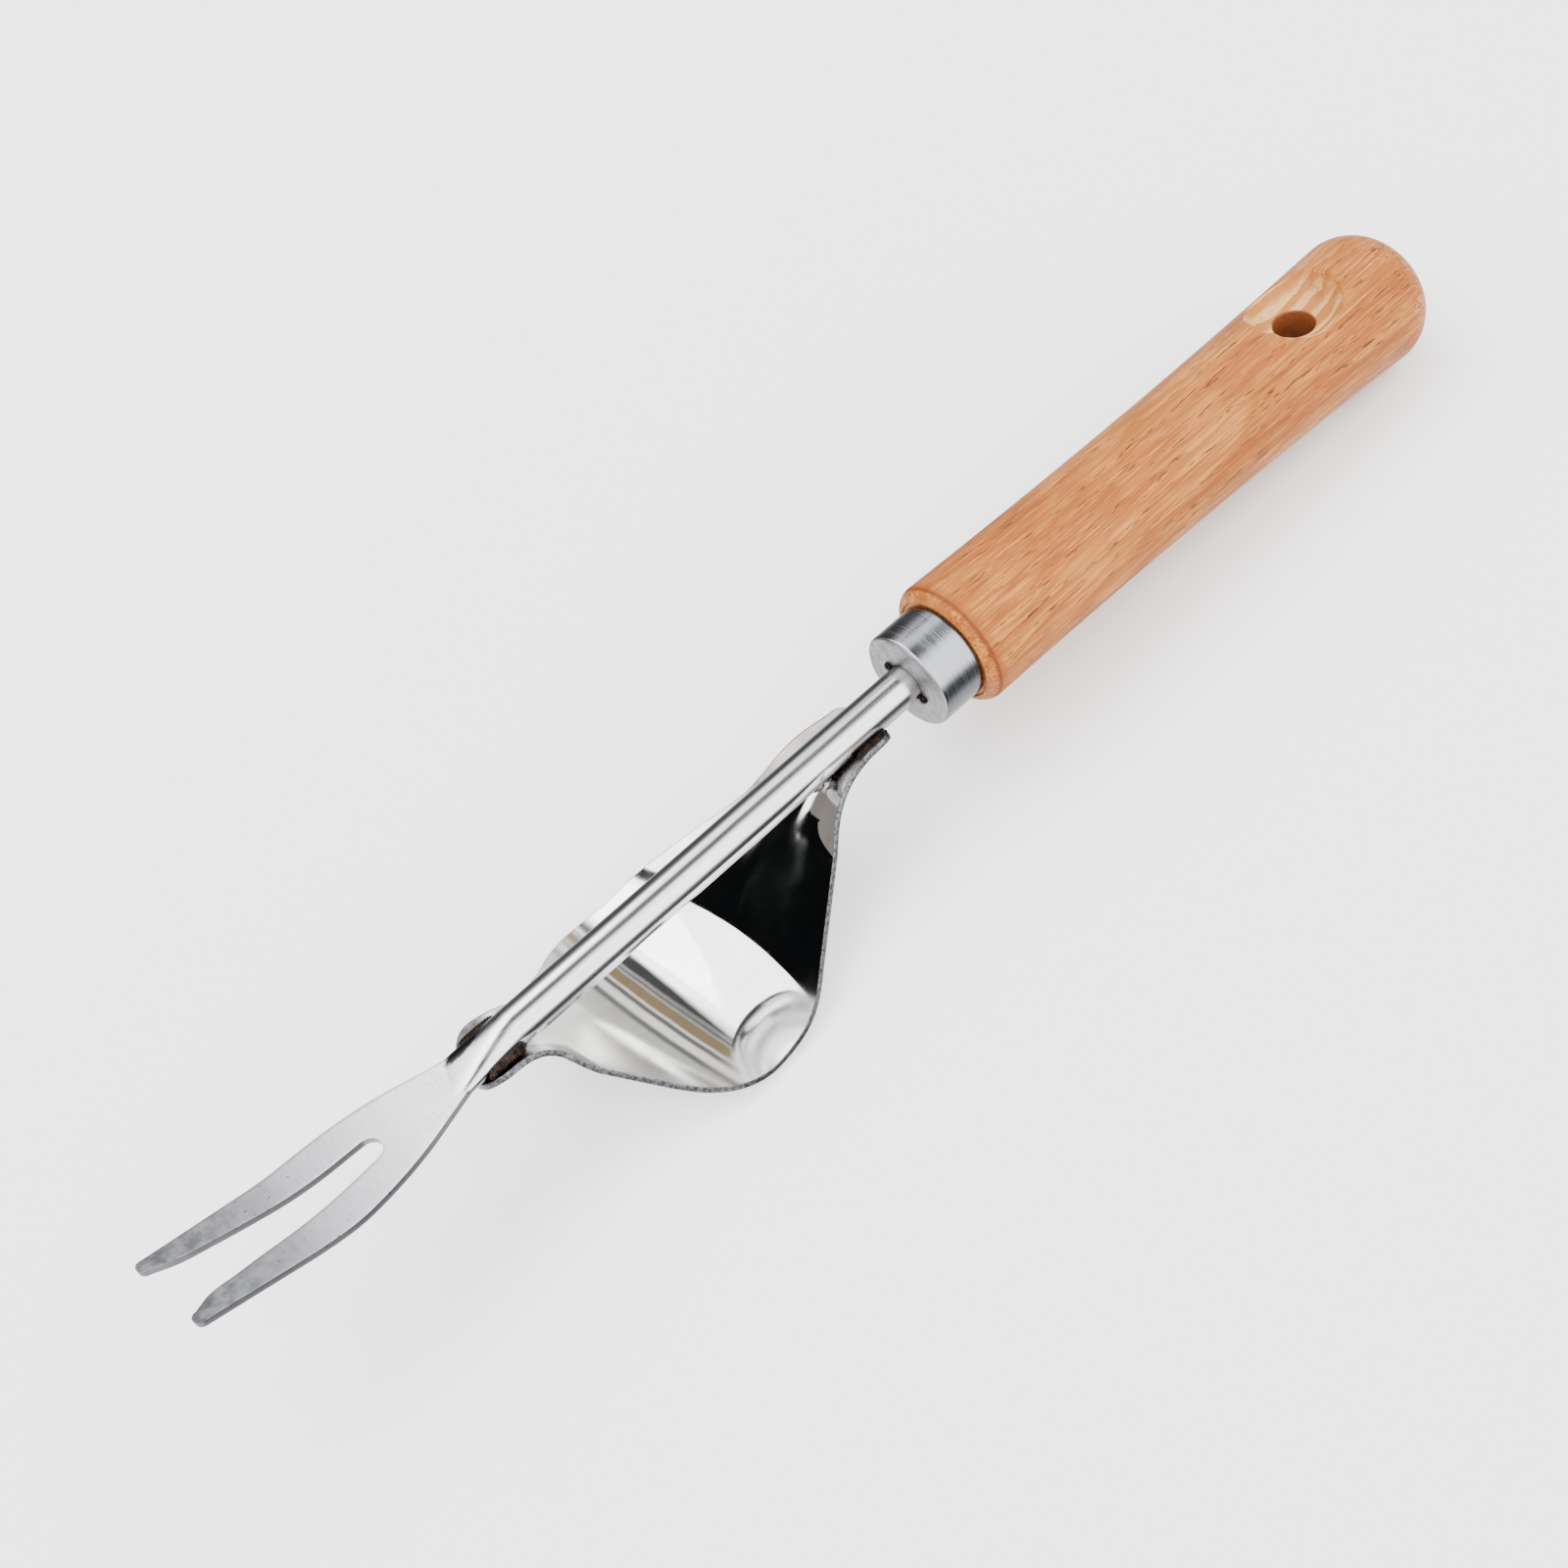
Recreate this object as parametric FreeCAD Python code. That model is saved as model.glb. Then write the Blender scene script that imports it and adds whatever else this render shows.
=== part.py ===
import FreeCAD, Part
import math
import os

# Hand weeding fork: a steel tube pressed flat and forked at one end, a bent fulcrum plate welded
# under it, and a turned wooden handle with a steel ferrule cup.
# The tool is drawn along its shank: x = 0 is 1 mm behind the front face of the ferrule, +X runs to the
# butt, z = 0 is the axis and the plate hangs in -Z.  The finished tool is then pitched so that the
# plate and the butt both stand on z = 0.  All sizes are in millimetres.

# ---- driving dimensions ----
tube_radius = 4.1
tube_wall = 0.75
tube_round_start = -106.0     # the tube is round from here to its end inside the handle
tube_end = 70.0

blade_thickness = 1.5
blade_start = -119.0
tine_bend_start = -144.0      # the tines are straight up to here, then curve up
tine_bend_radius = 60.0
tine_angle = 13.9
tip_x = -180.3                # front of the left tine
right_tip_x = -178.9          # the right tine is ground a little shorter
tip_radius = 1.35
slot_radius = 2.65
slot_end = -135.2

plate_thickness = 1.2
apex_x = -73.4                # where the two flanks' middle planes would meet
apex_depth = 33.85
apex_radius = 29.5
front_flank_angle = 43.5
rear_flank_angle = 31.5
front_tab_half_width = 7.4
rear_tab_half_width = 6.8
cradle_half_width = 9.0       # the cradle is pressed this wide before the sheet is trimmed
tab_front_x = -115.5
tab_rear_x = -11.0
tab_wing_angle = 38.0         # the tab hugs the tube over this angle each side, then runs straight
widest_corners = [(-79.9, 29.4, 21.0), (-58.2, 27.6, 24.8)]   # x, y and rounding of the plan's corners
cradle_blend_front = 9.0      # length over which the cradle flattens out into each flank
cradle_blend_rear = 13.0

ferrule_radius = 10.75
ferrule_front = -1.0
ferrule_rear = 10.0
ferrule_wall = 1.0
ferrule_edge_radius = 0.9

handle_tilt = 1.92            # the turned handle droops by this angle from the shank
handle_front_radius = 13.85
handle_waist_radius = 13.55
handle_swell_radius = 15.4
handle_waist_x = 58.0
butt_x = 149.6
butt_edge_radius = 10.5
shoulder_radius = 3.0
shoulder_sink = 0.5           # the rounded shoulder starts this far behind the ferrule's rear edge

hang_hole_x = 118.4
hang_hole_radius = 4.45
dish_radius = 12.2            # radius of the ball-shaped recess round each mouth of the hang hole
dish_centre_height = 19.6     # height of its centre over the handle's own axis there

bond_thickness = 0.25
bond_start = 12.0
bore_end = 72.0

weld_gap = 0.7                # distance from the tube's surface to a bead's centre line
front_weld_radius = 1.25
front_weld_angle = 4.0        # how far below the shank's axis the bead lies, seen from the axis
rear_weld_radius = 0.95
rear_weld_angle = 22.0
tack_radius = 0.95
tack_distance = 4.85
tack_clock = 26.0             # the two tacks lie on a line turned by this angle from level

os.makedirs("parts", exist_ok=True)

ALONG_X = FreeCAD.Vector(1, 0, 0)
ALONG_Y = FreeCAD.Vector(0, 1, 0)
ALONG_Z = FreeCAD.Vector(0, 0, 1)
ORIGIN = FreeCAD.Vector(0, 0, 0)


def vec(x, y=0.0, z=0.0):
    return FreeCAD.Vector(x, y, z)


def rod(radius, x0, x1):
    """Cylinder along the shank's axis from x0 to x1."""
    return Part.makeCylinder(radius, x1 - x0, vec(x0), ALONG_X)


def spline(points):
    curve = Part.BSplineCurve()
    curve.interpolate(points)
    return curve.toShape()


def filleted(points, radii):
    """Edges of a polyline whose inner corners are rounded, each with its own radius."""
    edges = []
    last = points[0]
    for before, corner, after, radius in zip(points, points[1:], points[2:], radii):
        to_before = (before - corner).normalize()
        to_after = (after - corner).normalize()
        half = to_before.getAngle(to_after) / 2
        reach = radius / math.tan(half)
        start = corner + to_before * reach
        end = corner + to_after * reach
        bisector = (to_before + to_after).normalize()
        middle = corner + bisector * (radius / math.sin(half) - radius)
        edges.append(Part.LineSegment(last, start).toShape())
        edges.append(Part.Arc(start, middle, end).toShape())
        last = end
    edges.append(Part.LineSegment(last, points[-1]).toShape())
    return edges


def beside(points, distance):
    """The polyline in the XZ plane moved sideways by a distance, up being positive."""
    lines = []
    for a, b in zip(points, points[1:]):
        along = (b - a).normalize()
        up = vec(-along.z, 0, along.x)
        lines.append((a + up * distance, b + up * distance, along))
    moved = [lines[0][0]]
    for (a, _, d), (c, _, e) in zip(lines, lines[1:]):
        cross = d.x * e.z - d.z * e.x
        t = ((c.x - a.x) * e.z - (c.z - a.z) * e.x) / cross
        moved.append(a + d * t)
    moved.append(lines[-1][1])
    return moved


def bent_sheet(points, radii, turns, thickness, half_width):
    """Sheet of even thickness bent along a polyline.  A turn is +1 where the sheet bends up."""
    upper = beside(points, thickness / 2)
    lower = beside(points, -thickness / 2)
    upper_radii = [r - s * thickness / 2 for r, s in zip(radii, turns)]
    lower_radii = [r + s * thickness / 2 for r, s in zip(radii, turns)]
    edges = filleted(upper, upper_radii) + filleted(lower, lower_radii)
    edges.append(Part.LineSegment(upper[0], lower[0]).toShape())
    edges.append(Part.LineSegment(upper[-1], lower[-1]).toShape())
    face = Part.Face(Part.Wire(Part.__sortEdges__(edges)))
    face.translate(vec(0, -half_width, 0))
    return face.extrude(vec(0, 2 * half_width, 0))


def mirrored_outline(half, bottom, top):
    """Prism over the area between a half outline and its mirror image in y."""
    other = [e.mirror(ORIGIN, ALONG_Y) for e in half]
    wire = Part.Wire(Part.__sortEdges__(half + other))
    face = Part.Face(wire)
    face.translate(vec(0, 0, bottom))
    return face.extrude(vec(0, 0, top - bottom))


# ---- fork and shank: one tube, pressed flat, slotted and bent ----
slope = math.tan(math.radians(tine_angle))
bend_reach = tine_bend_radius * math.tan(math.radians(tine_angle / 2))
bend_corner = tine_bend_start - bend_reach
path = [vec(tip_x - 4, 0, (bend_corner - tip_x + 4) * slope), vec(bend_corner), vec(blade_start)]
slab = bent_sheet(path, [tine_bend_radius], [1], blade_thickness, 14.0)

slot_centre = slot_end - slot_radius


def tine_edges(end_x, side):
    """Outer edge, rounded tip and inner edge of one tine, seen from above."""
    tip_y = 8.1
    outer = [
        (blade_start, 4.85),
        (-124, 6.35),
        (-130, 8.1),
        (-138, 9.65),
        (-146, 10.4),
        (-156, 10.15),
        (-168, 9.75),
        (end_x + tip_radius, tip_y + tip_radius),
    ]
    inner = [
        (end_x + tip_radius, tip_y - tip_radius),
        (-175, 5.5),
        (-168, 4.6),
        (-156, 3.65),
        (-146, 3.05),
        (slot_centre, slot_radius),
    ]
    outer = [vec(x, side * y) for x, y in outer]
    inner = [vec(x, side * y) for x, y in inner]
    tip = Part.Arc(outer[-1], vec(end_x, side * tip_y), inner[0]).toShape()
    return [spline(outer), tip, spline(inner)]


slot_arc = Part.Arc(vec(slot_centre, slot_radius), vec(slot_end, 0), vec(slot_centre, -slot_radius))
blade_back = Part.LineSegment(vec(blade_start, -4.85), vec(blade_start, 4.85))
blade_edges = tine_edges(tip_x, 1) + tine_edges(right_tip_x, -1)
blade_edges += [slot_arc.toShape(), blade_back.toShape()]
outline = Part.Face(Part.Wire(Part.__sortEdges__(blade_edges)))
outline.translate(vec(0, 0, -5))
blade = slab.common(outline.extrude(vec(0, 0, 20)))

round_end = Part.Wire([Part.Circle(vec(tube_round_start), ALONG_X, tube_radius).toShape()])
flat_ellipse = Part.Ellipse(vec(blade_start - 2, 5.4, 0), vec(blade_start - 2, 0, blade_thickness / 2),
                            vec(blade_start - 2))
flat_end = Part.Wire([flat_ellipse.toShape()])
pressed = Part.makeLoft([round_end, flat_end], True, True)
tube = rod(tube_radius, tube_round_start, tube_end)
bore = rod(tube_radius - tube_wall, tube_round_start, tube_end)
fork_shank = tube.cut(bore).fuse([pressed, blade]).removeSplitter()

# ---- fulcrum plate: bent sheet whose two tabs cradle the tube ----
tab_level = -(tube_radius + plate_thickness / 2)
front_drop = math.tan(math.radians(front_flank_angle))
rear_drop = math.tan(math.radians(rear_flank_angle))
front_bend_x = apex_x - (apex_depth + tab_level) / front_drop
rear_bend_x = apex_x + (apex_depth + tab_level) / rear_drop
front_bend = vec(front_bend_x, 0, tab_level)
rear_bend = vec(rear_bend_x, 0, tab_level)
apex = vec(apex_x, 0, -apex_depth)
front_along = (apex - front_bend).normalize()
rear_along = (apex - rear_bend).normalize()
front_flat = front_bend + front_along * cradle_blend_front
rear_flat = rear_bend + rear_along * cradle_blend_rear
flanks = bent_sheet([front_flat, apex, rear_flat], [apex_radius], [1], plate_thickness, 32.0)


def sheet_section(half_width, hug_radius, hug_angle):
    """Closed outline across the sheet: an arc under the tube and a straight wing each side."""
    turn = math.radians(hug_angle)
    sides = []
    for radius in (hug_radius, hug_radius + plate_thickness):
        foot = vec(0, radius * math.sin(turn), hug_radius - radius * math.cos(turn))
        run = half_width - foot.y
        edge = foot + vec(0, run, run * math.tan(turn))
        sides.append((edge, foot, vec(0, 0, hug_radius - radius)))
    edges = []
    for edge, foot, bottom in sides:
        edge_back = vec(0, -edge.y, edge.z)
        foot_back = vec(0, -foot.y, foot.z)
        edges.append(Part.LineSegment(edge_back, foot_back).toShape())
        edges.append(Part.Arc(foot_back, bottom, foot).toShape())
        edges.append(Part.LineSegment(foot, edge).toShape())
    (top, _, _), (under, _, _) = sides
    edges.append(Part.LineSegment(top, under).toShape())
    edges.append(Part.LineSegment(vec(0, -top.y, top.z), vec(0, -under.y, under.z)).toShape())
    return Part.Wire(Part.__sortEdges__(edges))


def placed_section(wire, point, angle):
    """The section with its inner face on the sheet's upper side at a point of its middle line."""
    wire = wire.copy()
    wire.translate(vec(0, 0, plate_thickness / 2))
    wire.rotate(ORIGIN, ALONG_Y, angle)
    wire.translate(point)
    return wire


FLAT_ANGLE = 0.5
hug_half = tube_radius * math.sin(math.radians(tab_wing_angle))
flat_radius = hug_half / math.sin(math.radians(FLAT_ANGLE))
front_width = cradle_half_width + cradle_blend_front
rear_width = cradle_half_width + cradle_blend_rear
cradle = sheet_section(cradle_half_width, tube_radius, tab_wing_angle)
front_cradle = placed_section(cradle, front_bend, 0)
rear_cradle = placed_section(cradle, rear_bend, 0)
front_spread = placed_section(sheet_section(front_width, flat_radius, FLAT_ANGLE), front_flat, front_flank_angle)
rear_spread = placed_section(sheet_section(rear_width, flat_radius, FLAT_ANGLE), rear_flat, -rear_flank_angle)
front_blend = Part.makeLoft([front_cradle, front_spread], True, True)
rear_blend = Part.makeLoft([rear_cradle, rear_spread], True, True)
front_tab = Part.Face(front_cradle).extrude(vec(tab_front_x - front_bend_x, 0, 0))
rear_tab = Part.Face(rear_cradle).extrude(vec(tab_rear_x - rear_bend_x, 0, 0))

plan_corners = [
    (tab_front_x, front_tab_half_width, 6.0),
    (-103.4, front_tab_half_width, 7.8),
    *widest_corners,
    (-26.0, 7.2, 42.0),
    (tab_rear_x, rear_tab_half_width, 4.0),
]
plan_points = [vec(tab_front_x)] + [vec(x, y) for x, y, _ in plan_corners] + [vec(tab_rear_x)]
plan = mirrored_outline(filleted(plan_points, [radius for _, _, radius in plan_corners]), -40, 10)
fulcrum_plate = flanks.fuse([front_blend, rear_blend, front_tab, rear_tab]).removeSplitter().common(plan)

# ---- ferrule cup: drawn steel cap with a hole for the tube ----
cup = rod(ferrule_radius, ferrule_front, ferrule_rear)
front_rim = [e for e in cup.Edges if e.BoundBox.XMax < ferrule_front + 0.01 and e.Closed]
cup = cup.makeFillet(ferrule_edge_radius, front_rim)
cup_floor = ferrule_front + ferrule_wall
hollow = rod(ferrule_radius - ferrule_wall, cup_floor, ferrule_rear)
ferrule_cup = cup.cut(hollow).cut(rod(tube_radius, ferrule_front, cup_floor))

# ---- handle: turned wood with a spigot in the ferrule, a bore for the tube and a dished hang hole ----
shoulder_x = ferrule_rear + shoulder_radius - shoulder_sink
shoulder_top = vec(shoulder_x, 0, handle_front_radius)
butt_corner = vec(butt_x - butt_edge_radius, 0, handle_swell_radius)
profile = Part.Arc(shoulder_top, vec(handle_waist_x, 0, handle_waist_radius), butt_corner).toShape()
edge_centre = butt_corner - vec(0, 0, butt_edge_radius)
diagonal = butt_edge_radius * math.sqrt(0.5)
butt_arc = Part.Arc(butt_corner, edge_centre + vec(diagonal, 0, diagonal),
                    edge_centre + vec(butt_edge_radius)).toShape()
butt_flat = Part.LineSegment(edge_centre + vec(butt_edge_radius), vec(butt_x)).toShape()
shoulder_centre = shoulder_top - vec(0, 0, shoulder_radius)
shoulder_diagonal = shoulder_radius * math.sqrt(0.5)
shoulder_foot = shoulder_centre - vec(shoulder_radius)
shoulder = Part.Arc(shoulder_top, shoulder_centre + vec(-shoulder_diagonal, 0, shoulder_diagonal),
                    shoulder_foot).toShape()
hidden_front = vec(ferrule_rear - 4, 0, shoulder_foot.z)
turning = [
    profile,
    butt_arc,
    butt_flat,
    shoulder,
    Part.LineSegment(shoulder_foot, hidden_front).toShape(),
    Part.LineSegment(hidden_front, vec(hidden_front.x)).toShape(),
    Part.LineSegment(vec(hidden_front.x), vec(butt_x)).toShape(),
]
half_section = Part.Face(Part.Wire(Part.__sortEdges__(turning)))
grip = half_section.revolve(ORIGIN, ALONG_X, 360)
grip.rotate(vec(ferrule_rear), ALONG_Y, handle_tilt)
grip = grip.cut(rod(40, -10, ferrule_rear))
spigot = rod(ferrule_radius - ferrule_wall, cup_floor, ferrule_rear)
droop = math.tan(math.radians(handle_tilt))
hole_level = -(hang_hole_x - ferrule_rear) * droop
hang_hole = Part.makeCylinder(hang_hole_radius, 60, vec(hang_hole_x, 0, hole_level - 30))
upper_dish = Part.makeSphere(dish_radius, vec(hang_hole_x, 0, hole_level + dish_centre_height))
lower_dish = Part.makeSphere(dish_radius, vec(hang_hole_x, 0, hole_level - dish_centre_height))
handle_bore = rod(tube_radius + bond_thickness, cup_floor, bore_end)
handle_grip = grip.fuse(spigot).cut(handle_bore).cut(hang_hole).cut(upper_dish).cut(lower_dish)
shank_bond = rod(tube_radius + bond_thickness, bond_start, tube_end).cut(rod(tube_radius, bond_start, tube_end))

# ---- welds: a bead along each side of both tabs, and two tacks at the ferrule ----


def bead(x0, x1, side, radius, angle):
    lean = math.radians(angle)
    reach = tube_radius + weld_gap
    y = reach * math.cos(lean)
    z = -reach * math.sin(lean)
    shape = Part.makeCylinder(radius, x1 - x0, vec(x0, y, z), ALONG_X)
    for x in (x0, x1):
        shape = shape.fuse(Part.makeSphere(radius, vec(x, y, z)))
    shape = shape.removeSplitter().cut(tube_core).cut(fulcrum_plate)
    return shape if side > 0 else shape.mirror(ORIGIN, ALONG_Y)


def tack(side):
    clock = math.radians(tack_clock)
    at = vec(ferrule_front - 0.2, side * tack_distance * math.cos(clock), side * tack_distance * math.sin(clock))
    return Part.makeSphere(tack_radius, at).cut(tube_core).cut(ferrule_cup)


tube_core = rod(tube_radius, -125, tube_end).fuse(fork_shank)
front_weld = (tab_front_x + 3.2, tab_front_x + 9.4)
rear_weld = (tab_rear_x - 8.0, tab_rear_x - 1.5)
nodes = {
    "fork_shank": fork_shank,
    "fulcrum_plate": fulcrum_plate,
    "ferrule_cup": ferrule_cup,
    "handle_grip": handle_grip,
    "shank_bond": shank_bond,
    "weld_front_left": bead(*front_weld, 1, front_weld_radius, front_weld_angle),
    "weld_front_right": bead(*front_weld, -1, front_weld_radius, front_weld_angle),
    "weld_rear_left": bead(*rear_weld, 1, rear_weld_radius, rear_weld_angle),
    "weld_rear_right": bead(*rear_weld, -1, rear_weld_radius, rear_weld_angle),
    "tack_weld_left": tack(1),
    "tack_weld_right": tack(-1),
}

# ---- resting pose: the plate's round apex and the butt's round edge both touch z = 0 ----
half_turn = math.radians((180 - front_flank_angle - rear_flank_angle) / 2)
lean = math.radians((front_flank_angle - rear_flank_angle) / 2)
rise = apex_radius / math.sin(half_turn)
apex_centre = apex + vec(rise * math.sin(lean), 0, rise * math.cos(lean))
apex_outer = apex_radius + plate_thickness / 2
low_edge = FreeCAD.Placement(ORIGIN, FreeCAD.Rotation(ALONG_Y, handle_tilt), vec(ferrule_rear))
butt_centre = low_edge.multVec(vec(edge_centre.x, 0, -edge_centre.z))
span = butt_centre - apex_centre
reach_angle = math.asin((butt_edge_radius - apex_outer) / math.hypot(span.x, span.z))
pitch = math.degrees(math.atan2(span.z, span.x) - reach_angle)
for shape in nodes.values():
    shape.rotate(ORIGIN, ALONG_Y, pitch)
whole = Part.makeCompound(list(nodes.values())).optimalBoundingBox(False)
shift = vec(-(whole.XMin + whole.XMax) / 2, 0, -whole.ZMin)

for name, shape in nodes.items():
    shape.translate(shift)
    print(name, shape.ShapeType, len(shape.Solids), shape.isValid(), round(shape.Volume, 2))
    shape.exportStep("parts/" + name + ".step")

print("pitch", round(pitch, 3), "shift", [round(v, 3) for v in shift])
print("size", round(whole.XLength, 2), round(whole.YLength, 2), round(whole.ZLength, 2))
turn = FreeCAD.Rotation(ALONG_Y, pitch)
for label, point in (
    ("hang hole", vec(hang_hole_x, 0, hole_level)),
    ("plate apex", apex_centre - vec(0, 0, apex_outer)),
    ("slot end", vec(slot_end)),
    ("tine tip", vec(tip_x)),
    ("ferrule face", vec(ferrule_front)),
):
    p = turn.multVec(point) + shift
    print(label, round(p.x, 2), round(p.y, 2), round(p.z, 2))
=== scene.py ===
import bpy
import math
import numpy as np
from mathutils import Matrix, Vector


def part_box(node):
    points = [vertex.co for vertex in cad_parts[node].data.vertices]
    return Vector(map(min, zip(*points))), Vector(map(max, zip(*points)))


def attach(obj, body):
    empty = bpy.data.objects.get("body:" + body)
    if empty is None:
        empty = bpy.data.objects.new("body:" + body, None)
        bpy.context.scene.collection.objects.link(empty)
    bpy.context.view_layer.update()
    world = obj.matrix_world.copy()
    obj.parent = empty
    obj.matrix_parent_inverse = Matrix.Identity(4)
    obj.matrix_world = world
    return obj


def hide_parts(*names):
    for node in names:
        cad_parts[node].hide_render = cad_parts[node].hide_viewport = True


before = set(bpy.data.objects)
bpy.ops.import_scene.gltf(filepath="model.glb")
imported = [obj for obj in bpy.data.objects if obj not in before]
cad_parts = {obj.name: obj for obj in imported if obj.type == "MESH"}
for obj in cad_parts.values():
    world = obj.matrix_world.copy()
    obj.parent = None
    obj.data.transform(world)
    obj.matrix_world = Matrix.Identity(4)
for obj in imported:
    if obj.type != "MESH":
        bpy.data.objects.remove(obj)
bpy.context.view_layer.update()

# ---------------------------------------------------------------------------------------------
# Fork and shank: one stainless tube, round to the neck, pressed flat, slotted and bent up into two
# tines, then ground across.  The press leaves a slanting crease where the round runs into the flat.
# Everything is set out in millimetres along the tube: +x runs to the butt, x = 0 is 1 mm behind the
# ferrule's face, z = 0 is the tube's axis.  The finished tool lies pitched on its plate and butt.
# ---------------------------------------------------------------------------------------------
PITCH = math.radians(1.995)
FERRULE_FRONT = -1.0
FERRULE_REAR = 10.0
cup_low, cup_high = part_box("ferrule_cup")
along = Vector((math.cos(PITCH), 0, -math.sin(PITCH)))
shank_zero = (cup_low + cup_high) / 2 - along * ((FERRULE_FRONT + FERRULE_REAR) / 2000)
shank_to_row = Matrix.Translation(shank_zero) @ Matrix.Rotation(PITCH, 4, "Y") @ Matrix.Scale(0.001, 4)


def smooth_step(low, high, x):
    t = np.clip((np.asarray(x, float) - low) / (high - low), 0, 1)
    return t * t * (3 - 2 * t)


def piece(name, points, faces, crease=35):
    """A mesh piece from points in the shank's own millimetres, shaded smooth up to a crease angle."""
    mesh = bpy.data.meshes.new(name)
    mesh.from_pydata([shank_to_row @ Vector(p) for p in points], [], faces)
    mesh.validate()
    obj = bpy.data.objects.new(name, mesh)
    bpy.context.scene.collection.objects.link(obj)
    mesh.polygons.foreach_set("use_smooth", [True] * len(mesh.polygons))
    mesh.set_sharp_from_angle(angle=math.radians(crease))
    return obj


def skin(rings, caps=True):
    """Points and faces of a skin over equal rings of points."""
    count = len(rings[0])
    points = [p for ring in rings for p in ring]
    faces = []
    for i in range(len(rings) - 1):
        for j in range(count):
            k = (j + 1) % count
            faces.append((i * count + j, i * count + k, (i + 1) * count + k, (i + 1) * count + j))
    if caps:
        faces.append(tuple(range(count))[::-1])
        faces.append(tuple(range((len(rings) - 1) * count, len(rings) * count)))
    return points, faces


def apply_modifiers(obj):
    """Replace a piece's mesh by its evaluated one."""
    bpy.context.view_layer.update()
    depsgraph = bpy.context.evaluated_depsgraph_get()
    mesh = bpy.data.meshes.new_from_object(obj.evaluated_get(depsgraph))
    obj.modifiers.clear()
    old = obj.data
    obj.data = mesh
    bpy.data.meshes.remove(old)


def linear(code):
    """sRGB hex to a linear colour with alpha."""
    channels = [int(code[i:i + 2], 16) / 255 for i in (1, 3, 5)]
    return [c / 12.92 if c <= 0.04045 else ((c + 0.055) / 1.055) ** 2.4 for c in channels] + [1.0]


def feed(tree, node, inputs):
    """Give a node's inputs their values, hex colours and links, by name or in the order they stand."""
    if isinstance(inputs, dict):
        sockets, inputs = [node.inputs[name] for name in inputs], inputs.values()
    else:
        sockets = [socket for socket in node.inputs if socket.enabled]
    for socket, value in zip(sockets, inputs):
        if isinstance(value, bpy.types.Node):
            value = next(output for output in value.outputs if output.enabled)
        if isinstance(value, bpy.types.NodeSocket):
            tree.links.new(value, socket)
        else:
            socket.default_value = linear(value) if isinstance(value, str) else value


def add(tree, kind, inputs=(), **settings):
    """Add a shader node with its settings and links."""
    node = tree.nodes.new("ShaderNode" + kind)
    for name, value in settings.items():
        setattr(node, name, value)
    feed(tree, node, inputs)
    return node


def finish_of(name, colour, metallic, roughness):
    """A new material with its node tree and shader, and the tube's own coordinates in millimetres."""
    material = bpy.data.materials.new(name)
    material.use_nodes = True
    tree = material.node_tree
    shader = tree.nodes["Principled BSDF"]
    feed(tree, shader, {"Base Color": colour, "Metallic": metallic, "Roughness": roughness})
    along_tube = add(tree, "Mapping", {"Vector": add(tree, "TexCoord").outputs["Object"],
                                       "Location": shank_to_row.inverted().translation,
                                       "Rotation": (0, -PITCH, 0), "Scale": (1000, 1000, 1000)})
    return material, tree, shader, along_tube


def speckle(tree, place, lengths, detail=3.0, roughness=0.55):
    """Cloudy pattern whose grains have the given lengths in millimetres along x, y and z."""
    grain = add(tree, "Mapping", {"Vector": place, "Scale": [1 / length for length in lengths]})
    return add(tree, "TexNoise", {"Vector": grain, "Scale": 1.0, "Detail": detail, "Roughness": roughness})


TUBE_RADIUS = 4.1
TUBE_END = 70.0
PRESS_START = -104.0
PRESS_END = -122.0
BLADE_HALF = 0.75
NECK_HALF_WIDTH = 4.85
CREASE_SLANT = 0.8
POINTS_AROUND = 96

around = np.linspace(0, 2 * math.pi, POINTS_AROUND, endpoint=False)
stations = [*np.linspace(TUBE_END, PRESS_START, 12), *np.linspace(PRESS_START - 0.4, PRESS_END, 40)]
rings = []
for x in stations:
    pressed = smooth_step(PRESS_START, PRESS_END + 2.0, x)
    half_width = TUBE_RADIUS + (NECK_HALF_WIDTH - TUBE_RADIUS) * pressed
    drop = np.clip((PRESS_START - x) / (PRESS_START - PRESS_END - 2.6), 0, 1.2)
    half_height = TUBE_RADIUS + (BLADE_HALF - 0.05 - TUBE_RADIUS) * min(1, drop ** 1.15)
    power = 1 / (1 + 0.35 * pressed)
    c, s = np.cos(around), np.sin(around)
    y = half_width * np.sign(c) * np.abs(c) ** power
    z = half_height * np.sign(s) * np.abs(s) ** power
    rings.append([(x + CREASE_SLANT * b * pressed * 0.6, b, d) for b, d in zip(y, z)])
shank = piece("fork_and_shank", *skin(rings))

TIP_X = (-180.3, -178.9)
TIP_RADIUS = 1.35
TIP_Y = 8.1
SLOT_END = -135.2
SLOT_RADIUS = 2.65
TINE_BEND_START = -144.0
TINE_BEND_RADIUS = 60.0
TINE_ANGLE = math.radians(13.9)
ACROSS = 10


def natural_curve(knots, x):
    """Smooth interpolation through a few knots, by Catmull-Rom spans."""
    kx = np.array([k[0] for k in knots], float)
    ky = np.array([k[1] for k in knots], float)
    slope = np.gradient(ky, kx)
    i = np.clip(np.searchsorted(kx, x) - 1, 0, len(kx) - 2)
    h = kx[i + 1] - kx[i]
    t = (x - kx[i]) / h
    a = (1 + 2 * t) * (1 - t) ** 2 * ky[i] + t * (1 - t) ** 2 * h * slope[i]
    return a + t * t * (3 - 2 * t) * ky[i + 1] + t * t * (t - 1) * h * slope[i + 1]


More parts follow.
